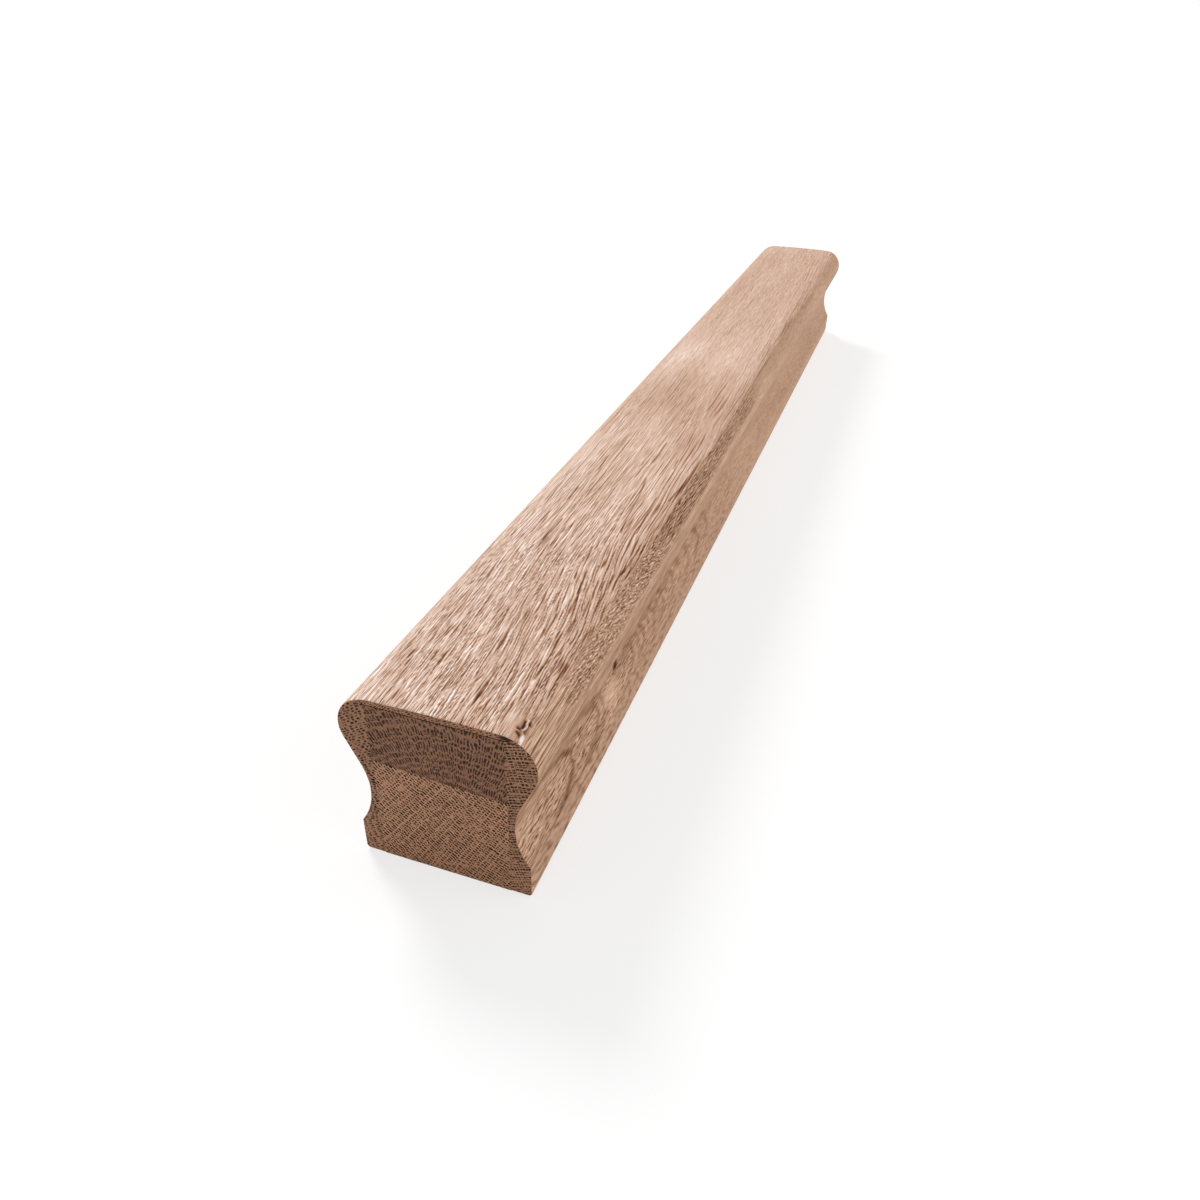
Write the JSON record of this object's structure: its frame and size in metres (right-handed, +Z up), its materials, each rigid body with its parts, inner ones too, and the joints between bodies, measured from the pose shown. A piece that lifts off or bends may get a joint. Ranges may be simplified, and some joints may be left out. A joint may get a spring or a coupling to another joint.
{
  "type": "stair handrail length",
  "caption": "Sawn length of moulded oak stair handrail with rounded shoulders, finger grooves and a flat base, glued up from core and face boards.",
  "frame": {"origin": "middle of the flat base, half way along the rail", "axes": "+X along the rail away from the end that the picture shows, +Y to the rail's left side, +Z up from the base to the crown"},
  "size_m": [0.55, 0.057, 0.0563],
  "materials": {
    "lower_core_oak": "bare sawn end grain, unsanded",
    "upper_core_oak": "bare sawn end grain, unsanded",
    "side_face_oak": "bare planed oak, open grain, matt",
    "top_face_oak": "bare planed oak, open grain, matt"
  },
  "bodies": {
    "root": {"lower_core_board": "lower_core_oak", "upper_core_board": "upper_core_oak", "left_face_board": "side_face_oak", "right_face_board": "side_face_oak", "top_face_board": "top_face_oak"}
  },
  "joints": []
}
